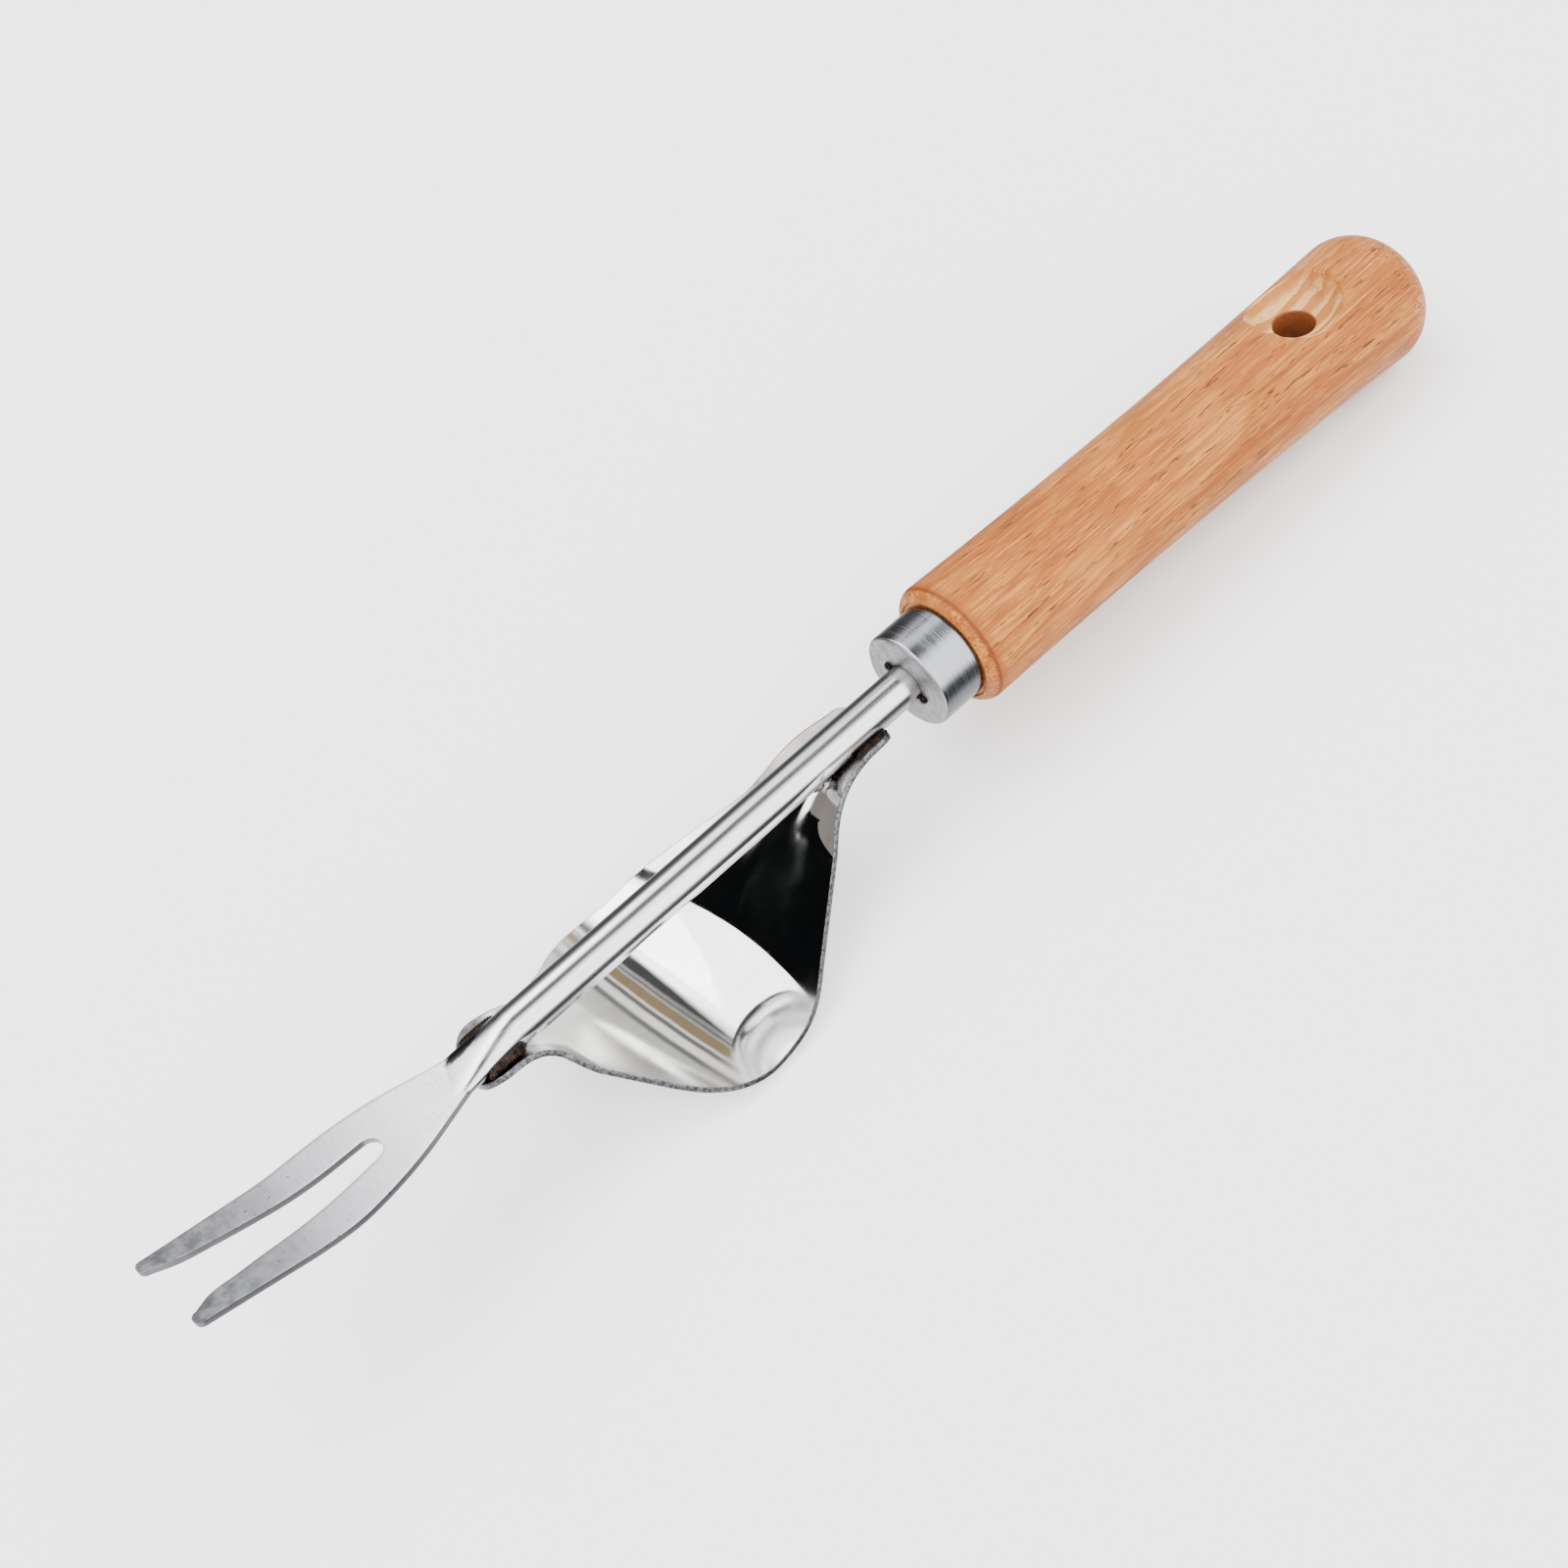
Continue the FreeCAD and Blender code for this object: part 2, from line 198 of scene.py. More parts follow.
def tine_lift(x):
    """Height of the blade's middle plane: flat, then an arc, then straight up the tine."""
    reach = TINE_BEND_START - x
    arc_reach = TINE_BEND_RADIUS * math.sin(TINE_ANGLE)
    if reach <= 0:
        return 0.0
    if reach < arc_reach:
        return TINE_BEND_RADIUS - math.sqrt(TINE_BEND_RADIUS ** 2 - reach ** 2)
    return TINE_BEND_RADIUS * (1 - math.cos(TINE_ANGLE)) + (reach - arc_reach) * math.tan(TINE_ANGLE)


def blade_half(side, tip_x):
    """Rows of points across one half of the blade, from the neck to the tine's tip."""
    outer = [(tip_x + TIP_RADIUS, TIP_Y + TIP_RADIUS), (-168, 9.75), (-156, 10.15), (-146, 10.4),
             (-138, 9.65), (-130, 8.1), (-124, 6.35), (-119, 4.85), (-113, 3.2)]
    inner = [(tip_x + TIP_RADIUS, TIP_Y - TIP_RADIUS), (-175, 5.5), (-168, 4.6), (-156, 3.65),
             (-146, 3.05), (SLOT_END - SLOT_RADIUS, SLOT_RADIUS)]
    rows = []
    for x in np.linspace(-113, SLOT_END + 0.6, 26):
        rows.append((x, 0.0, natural_curve(outer, x)))
    for turn in np.linspace(0, math.pi / 2, 12):
        x = SLOT_END - SLOT_RADIUS * (1 - math.cos(turn))
        rows.append((x, SLOT_RADIUS * math.sin(turn), natural_curve(outer, x)))
    for x in np.linspace(SLOT_END - SLOT_RADIUS - 0.8, tip_x + TIP_RADIUS, 52):
        rows.append((x, natural_curve(inner, x), natural_curve(outer, x)))
    for turn in np.linspace(0.15, math.pi / 2 - 0.08, 8):
        half = TIP_RADIUS * math.cos(turn)
        rows.append((tip_x + TIP_RADIUS * (1 - math.sin(turn)), TIP_Y - half, TIP_Y + half))
    grid = []
    for x, low, high in rows:
        grid.append([(x, side * y) for y in np.linspace(low, high, ACROSS)])
    return grid


points, faces = [], []
for side, tip_x in zip((1, -1), TIP_X):
    grid = blade_half(side, tip_x)
    rows = len(grid)
    base = len(points)
    for z in (BLADE_HALF, -BLADE_HALF):
        points += [(x, y, z + tine_lift(x)) for row in grid for x, y in row]
    size = rows * ACROSS
    quads = []
    for i in range(rows - 1):
        for j in range(ACROSS - 1):
            a = i * ACROSS + j
            b = a + ACROSS
            quads.append((a, b, b + 1, a + 1))
            quads.append((a + size, a + 1 + size, b + 1 + size, b + size))
        edge = i * ACROSS + ACROSS - 1
        quads.append((edge, edge + ACROSS, edge + ACROSS + size, edge + size))
        if abs(grid[i + 1][0][1]) > 1e-6:
            foot = i * ACROSS
            quads.append((foot, foot + size, foot + ACROSS + size, foot + ACROSS))
    last = (rows - 1) * ACROSS
    for j in range(ACROSS - 1):
        quads.append((last + j, last + j + size, last + j + 1 + size, last + j + 1))
        quads.append((j, j + 1, j + 1 + size, j + size))
    flip = side < 0
    faces += [tuple(base + v for v in (q[::-1] if flip else q)) for q in quads]
blade = piece("blade", points, faces)
weld_seam = blade.modifiers.new("join the halves", "WELD")
weld_seam.merge_threshold = 1e-6
rounding = blade.modifiers.new("ground edges", "BEVEL")
rounding.width = 0.00022
rounding.segments = 3
rounding.angle_limit = math.radians(50)
apply_modifiers(blade)
union = shank.modifiers.new("one tube", "BOOLEAN")
union.operation = "UNION"
union.solver = "EXACT"
union.object = blade
apply_modifiers(shank)
bpy.data.objects.remove(blade)
shank.data.polygons.foreach_set("use_smooth", [True] * len(shank.data.polygons))
shank.data.set_sharp_from_angle(angle=math.radians(32))


# Ground stainless steel: the belt leaves fine lines across the flat, and drawing leaves long ones along
# the round tube.  The eye sees a bright tube, a duller flat with a few pits, darker tines, brown heat
# stains by the welds and a dark brown patch beside the front left weld.  Painted shade darkens the flat's
# side walls and underside, and the tube's underside by the front tab along with the heat tint there.
# The belt lines are 0.22 mm apart, coarser than real grit, so that they show.
FLAT_BEGINS = (-116.5, -119.5)
TINES_DULL = (-122.0, -148.0)
TIPS_DARK = (-150.0, -176.0)
FRONT_TAB_HEAT_AND_SHADE = ((-101.0, -106.0), (-118.0, -115.0))
REAR_TAB_HEAT = ((-17.0, -13.0), (-4.5, -9.0))
TUBE_UNDERSIDE = (-1.2, -3.0)
DARK_BROWN_PATCH = (-112.8, 3.3, 1.7)
material, tree, shader, place = finish_of("ground_stainless_steel", "#C6C7C9", 1.0, 0.3)
axes = add(tree, "SeparateXYZ", (place,)).outputs
on_flat = add(tree, "MapRange", (axes["X"], *FLAT_BEGINS), interpolation_type="SMOOTHSTEP")
to_tips = add(tree, "MapRange", (axes["X"], *TIPS_DARK), interpolation_type="SMOOTHSTEP")
across = speckle(tree, place, (0.22, 7.0, 4.0))
broad = speckle(tree, place, (3.0, 2.5, 2.5), detail=5.0)
drawn = speckle(tree, place, (30.0, 0.4, 0.4))
pits = speckle(tree, place, (0.8, 0.5, 0.8), detail=1.0)
pits = add(tree, "MapRange", (pits, 0.7, 0.75), interpolation_type="SMOOTHSTEP")
scratches = speckle(tree, place, (0.12, 3.0, 3.0), detail=0.0)
scratches = add(tree, "MapRange", (scratches, 0.66, 0.74), interpolation_type="SMOOTHSTEP")
lines = add(tree, "Mix", (on_flat, drawn, across))
colour = add(tree, "MapRange", (lines, 0.3, 0.7), interpolation_type="SMOOTHSTEP")
colour = add(tree, "Mix", (colour, "#BDBEC2", "#D0D1D4"), data_type="RGBA")
along_tines = add(tree, "MapRange", (axes["X"], *TINES_DULL), interpolation_type="SMOOTHSTEP")
amount = add(tree, "Math", (along_tines, 0.75), operation="MULTIPLY")
colour = add(tree, "Mix", (amount, colour, "#7E7F83"), data_type="RGBA")
patchy = add(tree, "MapRange", (broad, 0.38, 0.62, 0.55, 1.0), interpolation_type="SMOOTHSTEP")
patchy = add(tree, "Math", (to_tips, patchy), operation="MULTIPLY")
colour = add(tree, "Mix", (patchy, colour, "#505155"), data_type="RGBA")
# Painted shade: faces of the flat that turn away from up, its side walls and underside, are darkened to
# grey.
upright = add(tree, "SeparateXYZ", (add(tree, "TexCoord").outputs["Normal"],)).outputs["Z"]
painted_shade_on_walls = add(tree, "MapRange", (upright, 0.8, 0.5), interpolation_type="SMOOTHSTEP")
painted_shade_on_walls = add(tree, "Math", (painted_shade_on_walls, on_flat), operation="MULTIPLY")
amount = add(tree, "Math", (painted_shade_on_walls, 0.8), operation="MULTIPLY")
colour = add(tree, "Mix", (amount, colour, "#66666A"), data_type="RGBA")
amount = add(tree, "Math", (pits, on_flat), operation="MULTIPLY")
amount = add(tree, "Math", (amount, 0.8), operation="MULTIPLY")
colour = add(tree, "Mix", (amount, colour, "#3C3A39"), data_type="RGBA")
amount = add(tree, "Math", (scratches, on_flat), operation="MULTIPLY")
amount = add(tree, "Math", (amount, 0.35), operation="MULTIPLY")
colour = add(tree, "Mix", (amount, colour, "#5E5F62"), data_type="RGBA")
# A dark brown patch on the tube beside the front left weld, darkest at its middle.
reach = add(tree, "VectorMath", (place, DARK_BROWN_PATCH), operation="SUBTRACT")
reach = add(tree, "VectorMath", (reach, (0.28, 1.0, 1.0)), operation="MULTIPLY")
reach = add(tree, "VectorMath", (reach,), operation="LENGTH")
ragged = add(tree, "Math", (speckle(tree, place, (1.5, 0.8, 0.8)), 1.1), operation="MULTIPLY")
ragged = add(tree, "Math", (reach, ragged), operation="ADD")
dark_brown_patch = add(tree, "MapRange", (ragged, 2.35, 2.0), interpolation_type="SMOOTHSTEP")
amount = add(tree, "Math", (dark_brown_patch, 0.9), operation="MULTIPLY")
colour = add(tree, "Mix", (amount, colour, "#3A332F"), data_type="RGBA")
# Heat tint under the tube by both tabs; by the front tab the dark brown is also painted shade in the gap
# between the tube and the plate's cradle.
below = add(tree, "MapRange", (axes["Z"], *TUBE_UNDERSIDE), interpolation_type="SMOOTHSTEP")
tab_heat_tint_and_shade = ((FRONT_TAB_HEAT_AND_SHADE, 0.6, "#4A3A30"), (REAR_TAB_HEAT, 0.85, "#A8642F"))
for (one_end, other_end), share, brown in tab_heat_tint_and_shade:
    near_tab = add(tree, "MapRange", (axes["X"], *one_end), interpolation_type="SMOOTHSTEP")
    amount = add(tree, "MapRange", (axes["X"], *other_end), interpolation_type="SMOOTHSTEP")
    amount = add(tree, "Math", (near_tab, amount), operation="MULTIPLY")
    amount = add(tree, "Math", (amount, below), operation="MULTIPLY")
    amount = add(tree, "Math", (amount, share), operation="MULTIPLY")
    colour = add(tree, "Mix", (amount, colour, brown), data_type="RGBA")
feed(tree, shader, {"Base Color": colour})
tube_gloss = add(tree, "MapRange", (drawn, 0.3, 0.7, 0.13, 0.2), interpolation_type="SMOOTHSTEP")
flat_gloss = add(tree, "MapRange", (lines, 0.25, 0.75, 0.3, 0.44), interpolation_type="SMOOTHSTEP")
gloss = add(tree, "Mix", (on_flat, tube_gloss, flat_gloss))
feed(tree, shader, {"Roughness": gloss})
height = add(tree, "Math", (lines, on_flat), operation="MULTIPLY")
amount = add(tree, "MapRange", (pits, 0, 1, 1.0, 0.2), interpolation_type="SMOOTHSTEP")
height = add(tree, "Math", (height, amount), operation="MULTIPLY")
bump = add(tree, "Bump", {"Height": height, "Distance": 0.012 / 1000})
feed(tree, shader, {"Normal": bump})
shank.data.materials.append(material)
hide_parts("fork_shank")
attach(shank, "root")

# ---------------------------------------------------------------------------------------------
# Fulcrum plate: one piece of mirror polished stainless sheet, cut to a rounded lozenge, bent into
# a bow and pressed into a cradle at each end, where it is welded to the tube.
# ---------------------------------------------------------------------------------------------
SHEET = 1.2
TAB_LEVEL = -(TUBE_RADIUS + SHEET / 2)
FRONT_FLANK = math.radians(43.5)
REAR_FLANK = math.radians(31.5)
APEX = (-73.4, -33.79)
APEX_RADIUS = 29.5
FRONT_BEND_RADIUS = 7.0
REAR_BEND_RADIUS = 14.0
TAB_FRONT = -115.5
TAB_REAR = -11.0
WING_ANGLE = math.radians(38.0)
SHEET_EDGE = 0.25
FRONT_DISHING = 0.045
REAR_DISHING = 0.16
ACROSS_SHEET = 49
RIM_POINTS = 6
PLAN = [(TAB_FRONT, 0), (TAB_FRONT, 7.4), (-103.4, 7.4), (-79.9, 29.33), (-58.2, 27.53), (-26.0, 7.2),
        (TAB_REAR, 6.8), (TAB_REAR, 0)]
PLAN_ROUNDING = [6.0, 7.8, 21.0, 24.8, 42.0, 4.0]


def rounded_path(corners, radii, step):
    """Points and directions along a polyline with rounded corners, evenly spaced."""
    path = []
    corners = [np.array(c, float) for c in corners]
    last = corners[0]
    for before, corner, after, radius in zip(corners, corners[1:], corners[2:], radii):
        into = (corner - before) / np.linalg.norm(corner - before)
        out = (after - corner) / np.linalg.norm(after - corner)
        turn = math.atan2(into[0] * out[1] - into[1] * out[0], into @ out)
        reach = radius * math.tan(abs(turn) / 2)
        start = corner - into * reach
        run = np.linalg.norm(start - last)
        for k in range(max(2, int(run / step))):
            path.append(last + (start - last) * k / max(2, int(run / step)))
        side = np.array([-into[1], into[0]]) * math.copysign(1, turn)
        centre = start + side * radius
        count = max(6, int(radius * abs(turn) / step))
        for k in range(count):
            a = turn * k / count
            spoke = start - centre
            path.append(centre + np.array([spoke[0] * math.cos(a) - spoke[1] * math.sin(a),
                                           spoke[0] * math.sin(a) + spoke[1] * math.cos(a)]))
        last = corner + out * reach
    run = np.linalg.norm(corners[-1] - last)
    for k in range(int(run / step) + 1):
        path.append(last + (corners[-1] - last) * k / int(run / step))
    return np.array(path)


front_bend = (APEX[0] - (TAB_LEVEL - APEX[1]) / math.tan(FRONT_FLANK), TAB_LEVEL)
rear_bend = (APEX[0] + (TAB_LEVEL - APEX[1]) / math.tan(REAR_FLANK), TAB_LEVEL)
path = rounded_path([(TAB_FRONT, TAB_LEVEL), front_bend, APEX, rear_bend, (TAB_REAR, TAB_LEVEL)],
                    [FRONT_BEND_RADIUS, APEX_RADIUS, REAR_BEND_RADIUS], 0.45)
outline = rounded_path(PLAN, PLAN_ROUNDING, 0.2)
direction = np.gradient(path, axis=0)
direction /= np.linalg.norm(direction, axis=1)[:, None]


def cradle_height(y):
    """How far the cradle's inner face stands over its lowest line at a distance y from it."""
    y = np.abs(y)
    foot = TUBE_RADIUS * math.sin(WING_ANGLE)
    arc = TUBE_RADIUS - np.sqrt(np.maximum(TUBE_RADIUS ** 2 - np.minimum(y, foot) ** 2, 0))
    return arc + np.maximum(y - foot, 0) * math.tan(WING_ANGLE)


def rolled_rim(start, end):
    """Points round the cut edge between the sheet's two faces, its corners taken off."""
    start, end = np.array(start), np.array(end)
    out = np.array([start[1] - end[1], end[0] - start[0]])
    out /= np.linalg.norm(out)
    steps = ((0.0, 0.55), (0.14, 0.9), (0.3, 1.0), (0.7, 1.0), (0.86, 0.9), (1.0, 0.55))
    return [tuple(start + (end - start) * t + out * bulge * SHEET_EDGE) for t, bulge in steps]


def dished_height(x, y):
    """Rise of the sheet's upper face beside its centre line: cradles at the tabs, dished flanks."""
    cradle = 1 - smooth_step(-109.0, -97.5, x) + smooth_step(-36.0, -18.0, x)
    from_front = max(x - front_bend[0], 5.0)
    from_rear = max(rear_bend[0] - x, 6.0)
    fade = 1 - 0.8 * smooth_step(20.0, 50.0, from_rear)
    bow = FRONT_DISHING / from_front + REAR_DISHING / from_rear * fade
    return cradle * cradle_height(y) + (1 - cradle) * bow * y * y / 2


rings = []
for (x, z), (dx, dz) in zip(path, direction):
    half = np.interp(x, outline[:, 0], outline[:, 1])
    y = np.linspace(-1, 1, ACROSS_SHEET) * max(half - SHEET_EDGE, 0.3)
    top = dished_height(x, y)
    slope = np.gradient(top, y)
    lean = 1 / np.sqrt(1 + slope ** 2)
    upper = list(zip(y, top))
    lower = [(b + SHEET * s * k, h - SHEET * k) for b, h, s, k in zip(y, top, slope, lean)]
    ring = upper + rolled_rim(upper[-1], lower[-1]) + lower[::-1] + rolled_rim(lower[0], upper[0])
    rings.append([(x - dz * (h + SHEET / 2), b, z + dx * (h + SHEET / 2)) for b, h in ring])
plate = piece("fulcrum_plate_sheet", *skin(rings), crease=40)

# Mirror polished stainless steel: a clear mirror with faint polishing smears and specks of dust.  It is
# hazier down the front flank and at its wide corners, and the welding heat has dulled and tinted it
# brown at both tabs.  At the front tab the dark brown is also painted shade, where the cradle lies under
# the tube.
FRONT_HEAT_AND_SHADE = (-98.5, -106.0)
REAR_HEAT = (-30.0, -16.0)
FLANK_HAZE = (-78.0, -92.0)
CORNER_RUB = (15.0, 24.0)
BEFORE_APEX = (-52.0, -60.0)
material, tree, shader, place = finish_of("mirror_polished_stainless_steel", "#E4E3E0", 1.0, 0.03)
axes = add(tree, "SeparateXYZ", (place,)).outputs
front_heat_and_shade = add(tree, "Math", (speckle(tree, place, (3.0, 2.0, 2.0)), 5.0), operation="MULTIPLY")
front_heat_and_shade = add(tree, "Math", (axes["X"], front_heat_and_shade), operation="ADD")
front_heat_and_shade = add(tree, "MapRange", (front_heat_and_shade, *FRONT_HEAT_AND_SHADE), interpolation_type="SMOOTHSTEP")
ragged = add(tree, "Math", (speckle(tree, place, (4.0, 2.0, 2.0)), 4.0), operation="MULTIPLY")
far_side = add(tree, "MapRange", (axes["Y"], 1.0, 6.0, 0.0, 16.0), interpolation_type="SMOOTHSTEP")
rear_reach = add(tree, "Math", (axes["X"], ragged), operation="ADD")
rear_reach = add(tree, "Math", (rear_reach, far_side), operation="ADD")
rear_heat = add(tree, "MapRange", (rear_reach, *REAR_HEAT), interpolation_type="SMOOTHSTEP")
smears = speckle(tree, place, (9.0, 3.0, 9.0), detail=4.0)
dust = speckle(tree, place, (0.5, 0.5, 0.5), detail=0.0)
dust = add(tree, "MapRange", (dust, 0.8, 0.84), interpolation_type="SMOOTHSTEP")
blotch = speckle(tree, place, (2.5, 1.2, 1.5), detail=4.0)
heat_tint_and_shade = add(tree, "MapRange", (blotch, 0.35, 0.65), interpolation_type="SMOOTHSTEP")
heat_tint_and_shade = add(tree, "Mix", (heat_tint_and_shade, "#2E2623", "#5E534D"), data_type="RGBA")
colour = add(tree, "MapRange", (smears, 0.3, 0.75), interpolation_type="SMOOTHSTEP")
colour = add(tree, "Mix", (colour, "#E6E5E2", "#D9D8D6"), data_type="RGBA")
# Heat tint with painted shade at the front tab: the cradle under the tube is coloured nearly black brown.
amount = add(tree, "Math", (front_heat_and_shade, 0.95), operation="MULTIPLY")
colour = add(tree, "Mix", (amount, colour, heat_tint_and_shade), data_type="RGBA")
amount = add(tree, "Math", (rear_heat, 0.75), operation="MULTIPLY")
brown = add(tree, "Mix", (blotch, "#4A3F39", "#8A786A"), data_type="RGBA")
colour = add(tree, "Mix", (amount, colour, brown), data_type="RGBA")
amount = add(tree, "Math", (dust, 0.5), operation="MULTIPLY")
colour = add(tree, "Mix", (amount, colour, "#8C8A86"), data_type="RGBA")
feed(tree, shader, {"Base Color": colour})
heat = add(tree, "Math", (front_heat_and_shade, rear_heat), operation="MAXIMUM")
gloss = add(tree, "MapRange", (smears, 0.35, 0.8, 0.022, 0.06), interpolation_type="SMOOTHSTEP")
amount = add(tree, "MapRange", (axes["X"], *FLANK_HAZE, 0.0, 0.16), interpolation_type="SMOOTHSTEP")
gloss = add(tree, "Math", (gloss, amount), operation="ADD")
rubbed = add(tree, "Math", (axes["Y"],), operation="ABSOLUTE")
rubbed = add(tree, "MapRange", (rubbed, *CORNER_RUB, 0.0, 0.08), interpolation_type="SMOOTHSTEP")
amount = add(tree, "MapRange", (axes["X"], *BEFORE_APEX), interpolation_type="SMOOTHSTEP")
amount = add(tree, "Math", (rubbed, amount), operation="MULTIPLY")
gloss = add(tree, "Math", (gloss, amount), operation="ADD")
gloss = add(tree, "Mix", (heat, gloss, 0.26))
feed(tree, shader, {"Roughness": gloss})
height = speckle(tree, place, (14.0, 7.0, 14.0), detail=1.0)
bump = add(tree, "Bump", {"Height": height, "Distance": 0.02 / 1000})
feed(tree, shader, {"Normal": bump})
plate.data.materials.append(material)

# The sheet's cut edge: sheared, then linished on a belt.  It looks grey and dull beside the mirror.
material, tree, shader, place = finish_of("linished_sheet_edge", "#5A5A5C", 1.0, 0.34)
nicks = speckle(tree, place, (0.6, 0.6, 0.6))
colour = add(tree, "MapRange", (nicks, 0.35, 0.65), interpolation_type="SMOOTHSTEP")
colour = add(tree, "Mix", (colour, "#39393B", "#6A6A6C"), data_type="RGBA")
feed(tree, shader, {"Base Color": colour})
plate.data.materials.append(material)
ring_size = len(rings[0])
for face in plate.data.polygons:
    place_in_ring = face.index % ring_size
    on_left_edge = ACROSS_SHEET - 1 <= place_in_ring < ACROSS_SHEET + RIM_POINTS
    on_edge = on_left_edge or place_in_ring >= 2 * ACROSS_SHEET + RIM_POINTS - 1
    face.material_index = 1 if on_edge and face.index < ring_size * (len(rings) - 1) else 0
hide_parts("fulcrum_plate")
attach(plate, "root")

# ---------------------------------------------------------------------------------------------
# Weld beads: a short bead of stainless weld metal along each side of both tabs.  Each is a run of
# overlapping puddles laid in the gap between the tab's wing and the round tube.
# ---------------------------------------------------------------------------------------------
WELD_GAP = 0.7
FRONT_WELD = dict(start=TAB_FRONT + 3.2, end=TAB_FRONT + 9.4, radius=1.25, angle=math.radians(4.0))
REAR_WELD = dict(start=TAB_REAR - 8.0, end=TAB_REAR - 1.5, radius=0.95, angle=math.radians(22.0))

# Weld steel as laid: rough dark oxide with brown heat colours, its skin rippled by the puddles.
weld_steel, tree, shader, place = finish_of("heat_tinted_weld_steel", "#5B4A40", 1.0, 0.38)
tones = speckle(tree, place, (0.9, 0.9, 0.9))
colour = add(tree, "MapRange", (tones, 0.35, 0.7), interpolation_type="SMOOTHSTEP")
colour = add(tree, "Mix", (colour, "#110E0C", "#302620"), data_type="RGBA")
feed(tree, shader, {"Base Color": colour})
bump = add(tree, "Bump", {"Height": tones, "Distance": 0.08 / 1000})
feed(tree, shader, {"Normal": bump})


def weld_bead(name, side, start, end, radius, angle):
    """A run of overlapping solidified puddles along one side of a tab."""
    rows = 72
    reach = TUBE_RADIUS + WELD_GAP
    y0, z0 = side * reach * math.cos(angle), -reach * math.sin(angle)
    rings = []
    for i in range(rows + 1):
        t = -1 + 2 * i / rows
        ripple = 0.94 + 0.06 * math.cos(i * 1.2 + side)
        size = radius * max(math.sqrt(max(0.0, 1 - t ** 6)) * ripple, 0.02)
        x = (start + end) / 2 + t * ((end - start) / 2 + radius)
        rings.append([(x + 0.35 * math.cos(a), y0 + size * math.cos(a), z0 + size * math.sin(a))
                      for a in np.linspace(0, 2 * math.pi, 24, endpoint=False)])
    return piece(name, *skin(rings), crease=60)


for end_name, weld in (("front", FRONT_WELD), ("rear", REAR_WELD)):
    for side_name, side in (("left", 1), ("right", -1)):
        node = "weld_" + end_name + "_" + side_name
        obj = weld_bead(node + "_bead", side, **weld)
        obj.data.materials.append(weld_steel)
        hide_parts(node)
        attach(obj, "root")

# ---------------------------------------------------------------------------------------------
# Ferrule cup: a cap drawn from stainless sheet, with a rounded front edge and a hole pierced in its
# face for the tube.  It is pushed over the handle's spigot and keeps the wood from splitting.
# ---------------------------------------------------------------------------------------------
FERRULE_RADIUS = 10.75
FERRULE_WALL = 1.0
FERRULE_EDGE = 0.9


def turned(name, profile):
    """A closed profile of (x, radius) turned about the tube's axis."""
    rings = []
    for x, radius in profile:
        ring = []
        for a in np.linspace(0, 2 * math.pi, 128, endpoint=False):
            ring.append((x, radius * math.cos(a), radius * math.sin(a)))
        rings.append(ring)
    return piece(name, *skin(rings, caps=False))


def quarter(cx, cr, radius, start, end, count):
    """Points of an arc in a profile, from one angle to another in degrees."""
    angles = np.radians(np.linspace(start, end, count))
    return [(cx + radius * math.cos(a), cr + radius * math.sin(a)) for a in angles]


cup_floor = FERRULE_FRONT + FERRULE_WALL
cup_profile = [(cup_floor, TUBE_RADIUS + 0.03), (FERRULE_FRONT + 0.2, TUBE_RADIUS + 0.03)]
cup_profile += [(FERRULE_FRONT, r) for r in (TUBE_RADIUS + 0.23, 6.0, 8.0)]
cup_profile += quarter(FERRULE_FRONT + FERRULE_EDGE, FERRULE_RADIUS - FERRULE_EDGE, FERRULE_EDGE,
                       180, 90, 14)
cup_profile += [(x, FERRULE_RADIUS) for x in (3.0, 6.0, 9.6)]
cup_profile += quarter(FERRULE_REAR - 0.25, FERRULE_RADIUS - 0.25, 0.25, 90, 0, 5)
cup_profile += [(FERRULE_REAR, FERRULE_RADIUS - FERRULE_WALL), (cup_floor, FERRULE_RADIUS - FERRULE_WALL)]
cup_profile.append(cup_profile[0])
cup = turned("ferrule_drawn_cup", cup_profile)

# Satin drawn stainless steel: a softly shining side with fine lines round it, and a duller face that
# keeps faint turning marks and is scorched beside the tube.
material, tree, shader, place = finish_of("satin_drawn_stainless_steel", "#B9BABD", 1.0, 0.26)
axes = add(tree, "SeparateXYZ", (place,)).outputs
face = add(tree, "MapRange", (axes["X"], FERRULE_FRONT + 0.45, FERRULE_FRONT + 0.1),
           interpolation_type="SMOOTHSTEP")
radial = add(tree, "VectorMath", (place, (0.0, 1.0, 1.0)), operation="MULTIPLY")
radius = add(tree, "VectorMath", (radial,), operation="LENGTH")
turning = add(tree, "CombineXYZ", (add(tree, "Math", (radius, 2.6), operation="MULTIPLY"), 0.0, 0.0))
marks = add(tree, "TexNoise", {"Vector": turning, "Scale": 1.0, "Detail": 3.0})
cloud = speckle(tree, place, (1.6, 1.6, 1.6), detail=4.0)
side_lines = speckle(tree, place, (0.3, 8.0, 8.0))
face_colour = add(tree, "Math", (marks, cloud), operation="MULTIPLY")
face_colour = add(tree, "MapRange", (face_colour, 0.12, 0.4), interpolation_type="SMOOTHSTEP")
face_colour = add(tree, "Mix", (face_colour, "#676463", "#8C8C8E"), data_type="RGBA")
side_colour = add(tree, "MapRange", (side_lines, 0.3, 0.7), interpolation_type="SMOOTHSTEP")
side_colour = add(tree, "Mix", (side_colour, "#84868B", "#94959A"), data_type="RGBA")
colour = add(tree, "Mix", (face, side_colour, face_colour), data_type="RGBA")
scorch = add(tree, "Math", (cloud, 1.5), operation="MULTIPLY")
scorch = add(tree, "Math", (radius, scorch), operation="ADD")
scorch = add(tree, "MapRange", (scorch, 6.9, 5.4), interpolation_type="SMOOTHSTEP")
